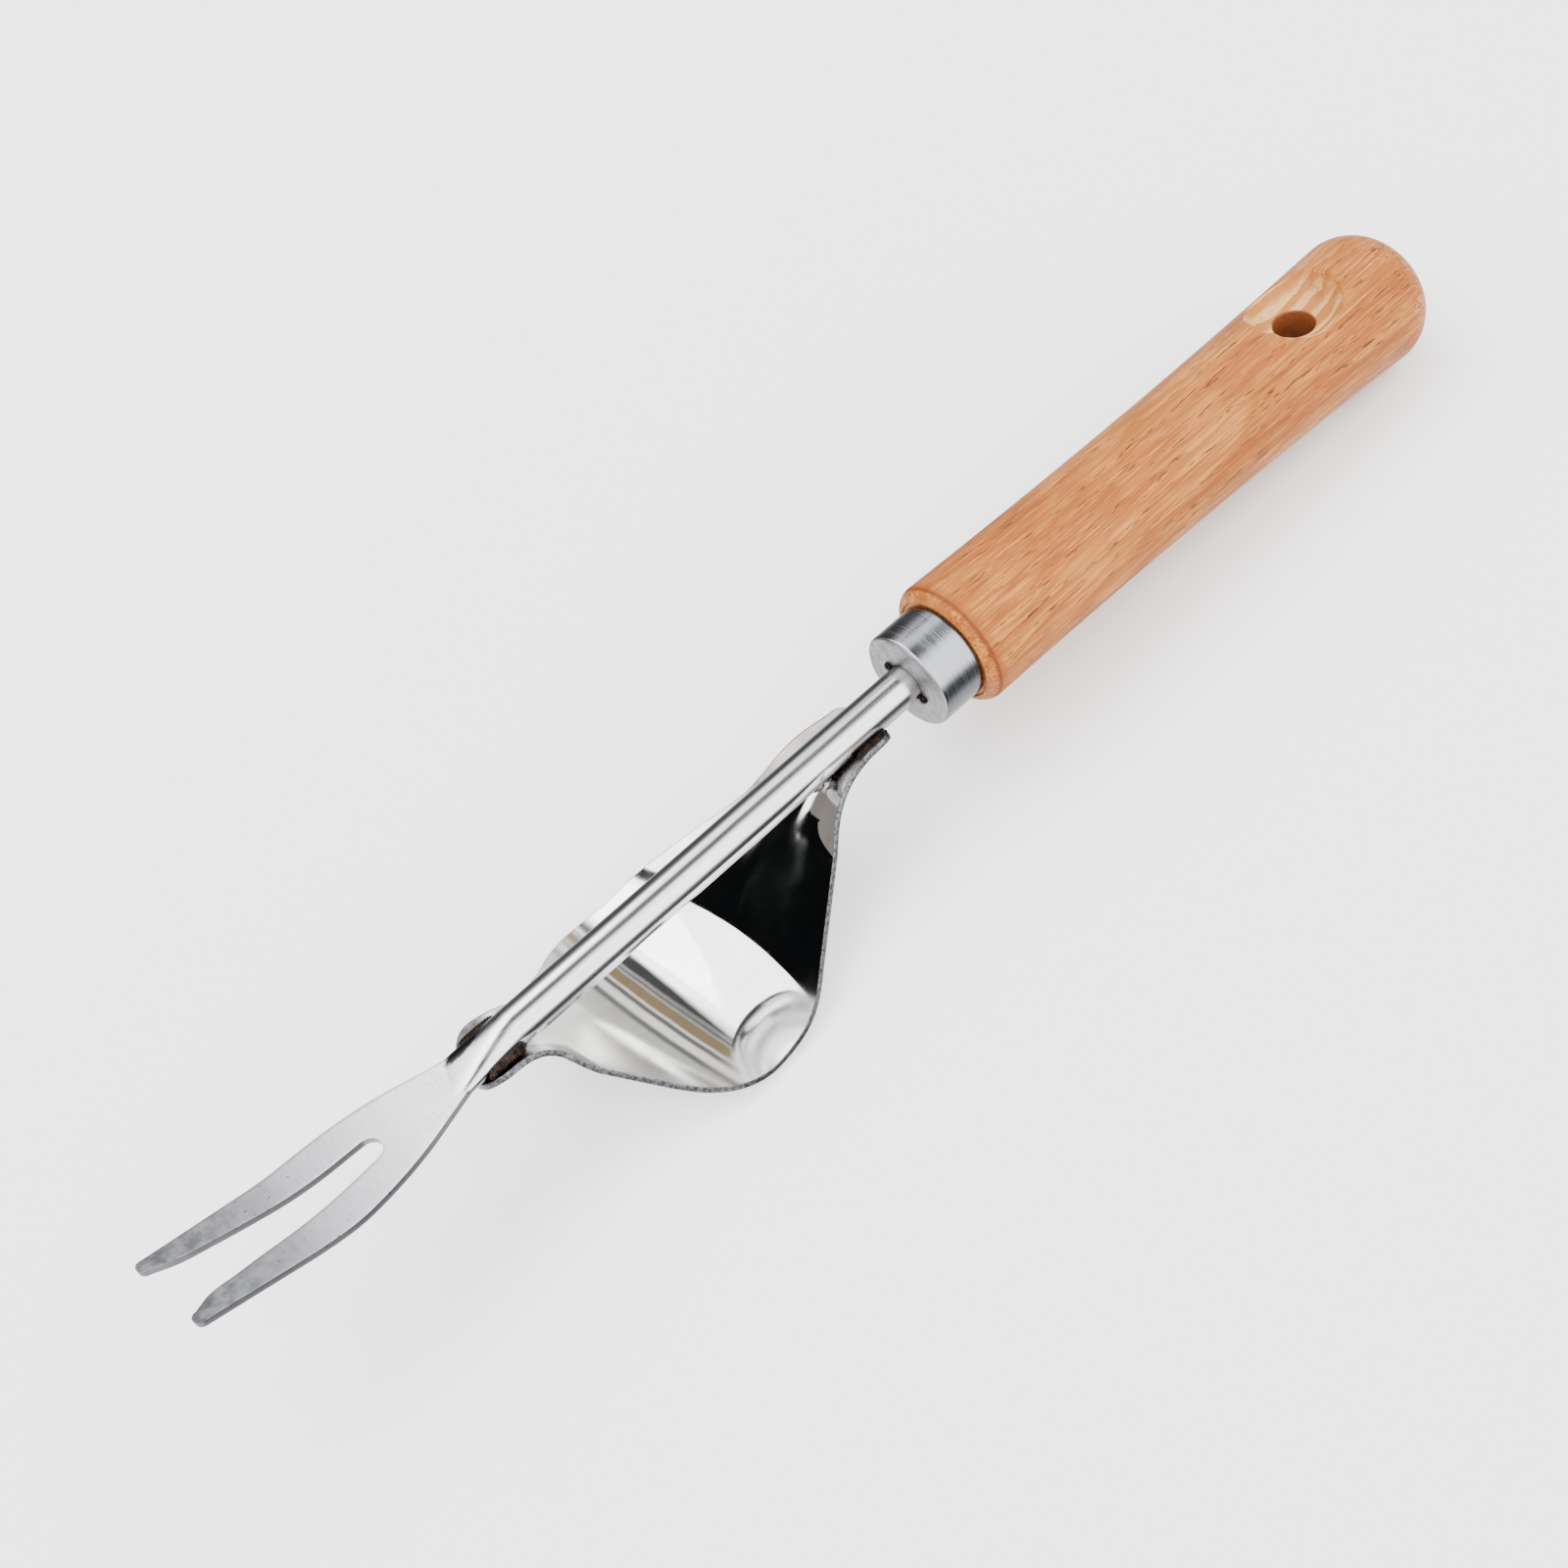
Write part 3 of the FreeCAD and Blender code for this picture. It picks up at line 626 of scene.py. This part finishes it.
amount = add(tree, "Math", (scorch, face), operation="MULTIPLY")
amount = add(tree, "Math", (amount, 0.6), operation="MULTIPLY")
colour = add(tree, "Mix", (amount, colour, "#3A3330"), data_type="RGBA")
feed(tree, shader, {"Base Color": colour})
gloss = add(tree, "MapRange", (side_lines, 0.3, 0.7, 0.16, 0.24), interpolation_type="SMOOTHSTEP")
gloss = add(tree, "Mix", (face, gloss, 0.42))
feed(tree, shader, {"Roughness": gloss})
height = add(tree, "Mix", (face, side_lines, add(tree, "Math", (marks, cloud), operation="MULTIPLY")))
bump = add(tree, "Bump", {"Height": height, "Distance": 0.015 / 1000})
feed(tree, shader, {"Normal": bump})
cup.data.materials.append(material)
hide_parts("ferrule_cup")
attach(cup, "root")

# ---------------------------------------------------------------------------------------------
# Handle: turned hardwood, waisted, with a rounded shoulder and butt, a spigot inside the ferrule, a
# blind bore for the tube, and a hang hole sunk in a ball-cut dish on both faces.
# ---------------------------------------------------------------------------------------------
TILT = math.radians(1.92)
SHOULDER = 3.0
SHOULDER_X = FERRULE_REAR + SHOULDER - 0.5
FRONT_RADIUS = 13.85
WAIST = (58.0, 13.55)
BUTT_X = 149.6
BUTT_EDGE = 10.5
SWELL_RADIUS = 15.36
HOLE_X = 118.4
HOLE_RADIUS = 4.45
DISH_RADIUS = 12.2
DISH_HEIGHT = 19.6
DISH_RIM_SOFTNESS = 0.35
BORE_RADIUS = 4.35
BORE_END = 72.0

body = [(SHOULDER_X, FRONT_RADIUS), WAIST, (BUTT_X - BUTT_EDGE, SWELL_RADIUS)]
fit = np.polyfit([p[0] for p in body], [p[1] for p in body], 2)
handle_profile = [(BORE_END, 0.001), (BORE_END, BORE_RADIUS), (0.05, BORE_RADIUS), (0.05, 9.7), (9.9, 9.7)]
handle_profile += [(FERRULE_REAR + 0.02, 9.75), (FERRULE_REAR + 0.02, FRONT_RADIUS - SHOULDER + 0.6)]
handle_profile += quarter(SHOULDER_X, FRONT_RADIUS - SHOULDER, SHOULDER, 165, 95, 12)
handle_profile += [(x, np.polyval(fit, x)) for x in np.linspace(SHOULDER_X, BUTT_X - BUTT_EDGE, 260)]
handle_profile += quarter(BUTT_X - BUTT_EDGE, SWELL_RADIUS - BUTT_EDGE, BUTT_EDGE, 88, 4, 34)
butt_flat = SWELL_RADIUS - BUTT_EDGE
handle_profile += [(BUTT_X, butt_flat * f) for f in (0.95, 0.6, 0.3, 0.001)]
rings = []
for x, radius in handle_profile:
    outer = radius > BORE_RADIUS + 0.1 and x > FERRULE_REAR or x > BORE_END
    drop = math.tan(TILT) * (x - FERRULE_REAR) if outer else 0.0
    ring = []
    for a in np.linspace(0, 2 * math.pi, 288, endpoint=False):
        y, z = radius * math.cos(a), radius * math.sin(a)
        if outer:
            reach = math.hypot(x - HOLE_X, y)
            if reach < DISH_RADIUS:
                dish = DISH_HEIGHT - math.sqrt(DISH_RADIUS ** 2 - reach ** 2)
                level = (abs(z) + dish - math.hypot(abs(z) - dish, DISH_RIM_SOFTNESS)) / 2
                z = math.copysign(min(abs(z), level), z) if abs(z) > 4 else z
        ring.append((x, y, z - drop))
    rings.append(ring)
handle = piece("turned_handle", *skin(rings), crease=40)
hole_level = -math.tan(TILT) * (HOLE_X - FERRULE_REAR)
mouth = DISH_HEIGHT - math.sqrt(DISH_RADIUS ** 2 - HOLE_RADIUS ** 2)
drill_profile = [(-20, 6.5), (-mouth - 0.6, 5.0), (-mouth + 0.35, HOLE_RADIUS),
                 (mouth - 0.35, HOLE_RADIUS), (mouth + 0.6, 5.0), (20, 6.5)]
cutter_rings = []
for height, radius in drill_profile:
    cutter_rings.append([(HOLE_X + radius * math.cos(a), radius * math.sin(a), hole_level + height)
                         for a in np.linspace(0, 2 * math.pi, 96, endpoint=False)])
cutter = piece("hole_cutter", *skin(cutter_rings))
drill = handle.modifiers.new("hang hole", "BOOLEAN")
drill.operation = "DIFFERENCE"
drill.solver = "EXACT"
drill.object = cutter
apply_modifiers(handle)
bpy.data.objects.remove(cutter)
handle.data.polygons.foreach_set("use_smooth", [True] * len(handle.data.polygons))
handle.data.set_sharp_from_angle(angle=math.radians(38))

# Turned ash, sanded and oiled: growth rings, a run of dark open pores in each ring, a pinkish tan body
# with darker streaks, and a burnished amber band at the shoulder.  Pores and fibres are 0.34 and
# 0.42 mm wide, a little coarser than real ones, so that they show.
GROWTH_RING = 3.4
AMBER_BAND = ((10.9, 11.5), (14.2, 12.6))
BURNT_LINE = ((11.3, 11.7), (12.5, 12.0))
EYE = (27.0, 2.0, 12.5)
material, tree, shader, place = finish_of("turned_ash", "#975A1B", 0.0, 0.46)
shader.inputs["Specular IOR Level"].default_value = 0.18
sway = speckle(tree, place, (42.0, 9.0, 9.0), detail=2.0)
wobble = speckle(tree, place, (11.0, 2.2, 2.2), detail=2.0)
pith = add(tree, "Mapping", {"Vector": place, "Location": (0.0, 17.0, 9.0), "Rotation": (0.0, 0.05, 0.07)})
pith = add(tree, "VectorMath", (pith, (0.0, 1.0, 1.0)), operation="MULTIPLY")
growth = add(tree, "VectorMath", (pith,), operation="LENGTH")
amount = add(tree, "Math", (sway, 9.0), operation="MULTIPLY")
growth = add(tree, "Math", (growth, amount), operation="ADD")
amount = add(tree, "Math", (wobble, 1.6), operation="MULTIPLY")
growth = add(tree, "Math", (growth, amount), operation="ADD")
ring = add(tree, "Math", (growth, 1 / GROWTH_RING), operation="MULTIPLY")
ring = add(tree, "Math", (ring,), operation="FRACT")
late = add(tree, "MapRange", (ring, 0.25, 0.85), interpolation_type="SMOOTHSTEP")
amount = add(tree, "MapRange", (ring, 1.0, 0.93), interpolation_type="SMOOTHSTEP")
late = add(tree, "Math", (late, amount), operation="MULTIPLY")
early = add(tree, "MapRange", (ring, 0.0, 0.06), interpolation_type="SMOOTHSTEP")
amount = add(tree, "MapRange", (ring, 0.45, 0.15), interpolation_type="SMOOTHSTEP")
early = add(tree, "Math", (early, amount), operation="MULTIPLY")
fibre = speckle(tree, place, (15.0, 0.42, 0.42), detail=4.0, roughness=0.6)
streak = speckle(tree, place, (48.0, 2.6, 2.6), detail=3.0)
patch = speckle(tree, place, (26.0, 11.0, 11.0), detail=2.0)
pores = speckle(tree, place, (4.2, 0.34, 0.34), detail=1.0)
pores = add(tree, "MapRange", (pores, 0.58, 0.66), interpolation_type="SMOOTHSTEP")
amount = add(tree, "Math", (early, streak), operation="ADD")
amount = add(tree, "MapRange", (amount, 0.45, 0.95, 0.15, 1.0), interpolation_type="SMOOTHSTEP")
pores = add(tree, "Math", (pores, amount), operation="MULTIPLY")
colour = add(tree, "MapRange", (patch, 0.42, 0.58), interpolation_type="SMOOTHSTEP")
colour = add(tree, "Mix", (colour, "#96591C", "#A96B2A"), data_type="RGBA")
amount = add(tree, "MapRange", (streak, 0.47, 0.6), interpolation_type="SMOOTHSTEP")
amount = add(tree, "Math", (amount, 0.7), operation="MULTIPLY")
colour = add(tree, "Mix", (amount, colour, "#85400E"), data_type="RGBA")
amount = add(tree, "Math", (late, 0.5), operation="MULTIPLY")
colour = add(tree, "Mix", (amount, colour, "#7A3E10"), data_type="RGBA")
amount = add(tree, "MapRange", (fibre, 0.48, 0.68, 0.0, 0.75), interpolation_type="SMOOTHSTEP")
colour = add(tree, "Mix", (amount, colour, "#7A4012"), data_type="RGBA")
amount = add(tree, "MapRange", (fibre, 0.47, 0.3, 0.0, 0.55), interpolation_type="SMOOTHSTEP")
colour = add(tree, "Mix", (amount, colour, "#C88A4E"), data_type="RGBA")
amount = add(tree, "Math", (pores, 0.85), operation="MULTIPLY")
colour = add(tree, "Mix", (amount, colour, "#46200C"), data_type="RGBA")
axes = add(tree, "SeparateXYZ", (place,)).outputs
burnish = add(tree, "Math", (fibre, 0.8), operation="MULTIPLY")
burnish = add(tree, "Math", (axes["X"], burnish), operation="ADD")
for (one_side, other_side), share, brown in ((AMBER_BAND, 0.6, "#83400F"), (BURNT_LINE, 0.8, "#5C2A0C")):
    band = add(tree, "MapRange", (burnish, *one_side), interpolation_type="SMOOTHSTEP")
    amount = add(tree, "MapRange", (burnish, *other_side), interpolation_type="SMOOTHSTEP")
    amount = add(tree, "Math", (band, amount), operation="MULTIPLY")
    amount = add(tree, "Math", (amount, share), operation="MULTIPLY")
    colour = add(tree, "Mix", (amount, colour, brown), data_type="RGBA")
to_eye = add(tree, "VectorMath", (place, EYE), operation="SUBTRACT")
to_eye = add(tree, "VectorMath", (to_eye, (0.3, 0.55, 0.3)), operation="MULTIPLY")
to_eye = add(tree, "VectorMath", (to_eye,), operation="LENGTH")
eye = add(tree, "Math", (wobble, 1.2), operation="MULTIPLY")
eye = add(tree, "Math", (to_eye, eye), operation="ADD")
eye = add(tree, "MapRange", (eye, 2.2, 0.9), interpolation_type="SMOOTHSTEP")
amount = add(tree, "Math", (eye, 0.6), operation="MULTIPLY")
colour = add(tree, "Mix", (amount, colour, "#8A420C"), data_type="RGBA")
to_hole = add(tree, "VectorMath", (place, (-HOLE_X, 0.0, 0.0)), operation="ADD")
to_hole = add(tree, "VectorMath", (to_hole, (1.0, 1.0, 0.0)), operation="MULTIPLY")
to_hole = add(tree, "VectorMath", (to_hole,), operation="LENGTH")
depth = add(tree, "Math", (axes["Z"], (HOLE_X - FERRULE_REAR) * math.tan(TILT)), operation="ADD")
depth = add(tree, "Math", (depth,), operation="ABSOLUTE")
rim_line = add(tree, "Math", (to_hole, to_hole), operation="MULTIPLY")
rim_line = add(tree, "Math", (DISH_RADIUS ** 2, rim_line), operation="SUBTRACT")
rim_line = add(tree, "Math", (rim_line,), operation="SQRT")
sphere = add(tree, "Math", (DISH_HEIGHT, rim_line), operation="SUBTRACT")
off_dish = add(tree, "Math", (depth, sphere), operation="SUBTRACT")
off_dish = add(tree, "Math", (off_dish,), operation="ABSOLUTE")
in_dish = add(tree, "MapRange", (off_dish, 0.5, 0.15), interpolation_type="SMOOTHSTEP")
amount = add(tree, "MapRange", (to_hole, 11.0, 10.4), interpolation_type="SMOOTHSTEP")
in_dish = add(tree, "Math", (in_dish, amount), operation="MULTIPLY")
ridges = add(tree, "MapRange", (ring, 0.3, 0.6), interpolation_type="SMOOTHSTEP")
dish_colour = add(tree, "Mix", (ridges, "#D8A870", "#A66C30"), data_type="RGBA")
amount = add(tree, "Math", (in_dish, 0.7), operation="MULTIPLY")
colour = add(tree, "Mix", (amount, colour, dish_colour), data_type="RGBA")
in_hole = add(tree, "MapRange", (to_hole, HOLE_RADIUS + 0.45, HOLE_RADIUS + 0.05),
              interpolation_type="SMOOTHSTEP")
amount = add(tree, "Math", (in_hole, 0.8), operation="MULTIPLY")
colour = add(tree, "Mix", (amount, colour, "#5A2C18"), data_type="RGBA")
feed(tree, shader, {"Base Color": colour})
gloss = add(tree, "MapRange", (fibre, 0.3, 0.7, 0.4, 0.56), interpolation_type="SMOOTHSTEP")
feed(tree, shader, {"Roughness": gloss})
height = add(tree, "Math", (pores, 1.6), operation="MULTIPLY")
height = add(tree, "Math", (fibre, height), operation="SUBTRACT")
amount = add(tree, "Math", (in_dish, ridges), operation="MULTIPLY")
amount = add(tree, "Math", (amount, 1.5), operation="MULTIPLY")
height = add(tree, "Math", (height, amount), operation="SUBTRACT")
bump = add(tree, "Bump", {"Height": height, "Distance": 0.05 / 1000})
feed(tree, shader, {"Normal": bump})
handle.data.materials.append(material)
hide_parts("handle_grip")
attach(handle, "root")

# ---------------------------------------------------------------------------------------------
# Small pieces: two tack welds that hold the tube to the ferrule's face, and the sleeve of epoxy
# adhesive that holds it in the handle's bore.
# ---------------------------------------------------------------------------------------------
TACK_RADIUS = 0.95
TACK_REACH = 4.85
TACK_CLOCK = math.radians(26.0)
for name, side in (("tack_weld_left", 1), ("tack_weld_right", -1)):
    x = FERRULE_FRONT - 0.1
    y = side * TACK_REACH * math.cos(TACK_CLOCK)
    z = side * TACK_REACH * math.sin(TACK_CLOCK)
    rings = []
    for lift in np.linspace(0.02, math.pi - 0.02, 14):
        radius = TACK_RADIUS * math.sin(lift)
        height = x - 0.85 * TACK_RADIUS * math.cos(lift)
        rings.append([(height, y + radius * math.cos(a), z + radius * math.sin(a))
                      for a in np.linspace(0, 2 * math.pi, 24, endpoint=False)])
    obj = piece(name + "_spot", *skin(rings), crease=60)
    obj.data.materials.append(weld_steel)
    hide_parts(name)
    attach(obj, "root")

# Cured epoxy: amber and slightly cloudy, where it stands round the tube in the handle's bore.
material, tree, shader, place = finish_of("cured_epoxy", "#B59A62", 0.0, 0.4)
cloudy = speckle(tree, place, (2.0, 1.0, 1.0))
colour = add(tree, "Mix", (cloudy, "#A88A50", "#C8AE78"), data_type="RGBA")
feed(tree, shader, {"Base Color": colour})
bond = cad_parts["shank_bond"]
bond.data.materials.clear()
bond.data.materials.append(material)

# ---------------------------------------------------------------------------------------------
# Studio: a pale paper floor under a white room that is brightest overhead.  Light and dark strips hang
# over the tool, and soft edged panels stand round it, for the tube and the mirror to reflect.  One
# weak softbox adds the faint shadow.
# ---------------------------------------------------------------------------------------------
LOOK_AT = Vector((-0.01569, 0.00669, 0.01869))
AZIMUTH = math.radians(62.935)
ELEVATION = math.radians(48.144)
ROLL = math.radians(21.709)
DISTANCE = 0.46038
camera_data = bpy.data.cameras.new("camera")
camera_data.lens = 54.0
camera_data.sensor_width = 36.0
camera_data.clip_start = 0.01
camera = bpy.data.objects.new("camera", camera_data)
bpy.context.scene.collection.objects.link(camera)
bpy.context.scene.camera = camera
look = Vector((math.cos(ELEVATION) * math.cos(AZIMUTH), math.cos(ELEVATION) * math.sin(AZIMUTH),
               -math.sin(ELEVATION)))
camera.location = LOOK_AT - look * DISTANCE
level = look.to_track_quat("-Z", "Y").to_matrix()
camera.rotation_euler = (level @ Matrix.Rotation(-ROLL, 3, "Z")).to_euler()

floor_mesh = bpy.data.meshes.new("floor")
floor_mesh.from_pydata([(-3, -3, 0), (3, -3, 0), (3, 3, 0), (-3, 3, 0)], [], [(0, 1, 2, 3)])
floor = bpy.data.objects.new("floor", floor_mesh)
bpy.context.scene.collection.objects.link(floor)

# Matt white paper: no shine, and a faint tooth.
material, tree, shader, place = finish_of("matt_white_paper", "#F6F6F5", 0.0, 0.9)
tooth = speckle(tree, place, (1.2, 1.2, 1.2))
colour = add(tree, "Mix", (tooth, "#F4F4F3", "#F8F8F7"), data_type="RGBA")
feed(tree, shader, {"Base Color": colour})
floor.data.materials.append(material)
floor.visible_glossy = False

world = bpy.data.worlds.new("studio")
bpy.context.scene.world = world
world.use_nodes = True
sky = world.node_tree
axes = add(sky, "SeparateXYZ", (add(sky, "TexCoord").outputs["Generated"],)).outputs
bearing = add(sky, "Math", (axes["Y"], axes["X"]), operation="ARCTAN2")
bearing = add(sky, "Math", (bearing,), operation="DEGREES")
rise = add(sky, "Math", (axes["Z"],), operation="ARCSINE")
rise = add(sky, "Math", (rise,), operation="DEGREES")
overhead = add(sky, "Math", (axes["Y"], axes["Z"]), operation="ARCTAN2")
overhead = add(sky, "Math", (overhead,), operation="DEGREES")

# The bare room: dimmer at table height, brightest from 46 degrees up.
amount = add(sky, "MapRange", (rise, 4.0, 46.0), interpolation_type="SMOOTHSTEP")
studio = add(sky, "Mix", (amount, (2.0, 2.0, 1.96, 1.0), (5.6, 5.6, 5.6, 1.0)), data_type="RGBA")
amount = add(sky, "MapRange", (rise, -8.0, -30.0), interpolation_type="SMOOTHSTEP")
studio = add(sky, "Mix", (amount, studio, (3.4, 3.4, 3.4, 1.0)), data_type="RGBA")

# Strips side by side over the length of the tool: the angle over the top in degrees, then brightness.
STRIPS = [(-178, 1.5), (-150, 1.3), (-134, 0.3), (-124, 0.08), (-110, 0.08), (-102, 1.0), (-92, 5.5),
          (-40, 5.5), (-27, 4.0), (-15, 0.4), (0, 0.12), (8, 0.35), (17, 2.6), (42, 3.0), (52, 0.9),
          (62, 0.25), (72, 0.10), (100, 0.14), (112, 0.5), (130, 1.3), (178, 1.5)]
BRIGHTEST = 6.0
amount = add(sky, "Math", (overhead, 1 / 360), operation="MULTIPLY")
amount = add(sky, "Math", (amount, 0.5), operation="ADD")
strips = add(sky, "ValToRGB", (amount,))
while len(strips.color_ramp.elements) < len(STRIPS):
    strips.color_ramp.elements.new(0.5)
for stop, (angle, tone) in zip(strips.color_ramp.elements, STRIPS):
    stop.position = 0.5 + angle / 360
    stop.color = (tone / BRIGHTEST, tone / BRIGHTEST, tone / BRIGHTEST, 1.0)
strips = add(sky, "VectorMath", (strips, BRIGHTEST), operation="SCALE")
front_end = add(sky, "MapRange", (axes["X"], -0.18, -0.08), interpolation_type="SMOOTHSTEP")
rear_end = add(sky, "MapRange", (axes["X"], 0.56, 0.46), interpolation_type="SMOOTHSTEP")
over_tool = add(sky, "Math", (front_end, rear_end), operation="MULTIPLY")
studio = add(sky, "Mix", (over_tool, studio, strips), data_type="RGBA")

# Panels, each laid over the ones before it: colour, brightness, the bearings and the heights that it
# spans in degrees, the softness of its edge, and how far it leans for each degree round.
PANELS = [
    ("#FFFFFF", 5.6, (57, 122), (46.5, 80), 2.0, 0.0),
    ("#C6C5C0", 1.7, (33, 47), (-4, 24), 3.0, 0.0),
    ("#8F8F92", 1.0, (34, 46), (15.5, 20), 1.5, 0.0),
    ("#EFEDE8", 2.0, (35, 47), (20.5, 25.5), 1.5, 0.0),
    ("#8F8E8C", 1.0, (36, 48), (25.5, 30), 1.5, 0.0),
    ("#A39273", 1.2, (37, 52), (30, 38.5), 2.0, 0.0),
    ("#8A8985", 0.9, (42, 54), (37.5, 41), 2.0, 0.0),
    ("#5C5C5F", 1.0, (46, 57), (40, 49), 2.5, 0.0),
    ("#A09A95", 1.0, (98, 130), (-14, 28), 3.0, 0.0),
    ("#101214", 1.0, (118.5, 165), (36, 53.5), 0.6, 1.1),
    ("#101214", 1.0, (118.5, 124.6), (19, 29.5), 0.6, 0.0),
]
for tone, strength, bearings, rises, soft, slant in PANELS:
    lean = add(sky, "Math", (bearing, sum(bearings) / 2), operation="SUBTRACT")
    lean = add(sky, "Math", (lean, slant), operation="MULTIPLY")
    height = add(sky, "Math", (rise, lean), operation="SUBTRACT")
    inside = 1.0
    for angle, (start, end) in ((bearing, bearings), (height, rises)):
        for edge, inward in ((start, soft), (end, -soft)):
            side = add(sky, "MapRange", (angle, edge - inward, edge + inward),
                       interpolation_type="SMOOTHSTEP")
            inside = add(sky, "Math", (inside, side), operation="MULTIPLY")
    glow = [c * strength for c in linear(tone)[:3]] + [1.0]
    studio = add(sky, "Mix", (inside, studio, glow), data_type="RGBA")
feed(sky, sky.nodes["Background"], {"Color": studio})

softbox_light = bpy.data.lights.new("overhead", "AREA")
softbox_light.shape = "RECTANGLE"
softbox_light.size = 1.0
softbox_light.size_y = 0.7
softbox_light.energy = 6.0
softbox = bpy.data.objects.new("overhead", softbox_light)
bpy.context.scene.collection.objects.link(softbox)
softbox.location = (-0.1, 0.5, 1.3)
softbox.rotation_euler = (-softbox.location).to_track_quat("-Z", "Y").to_euler()
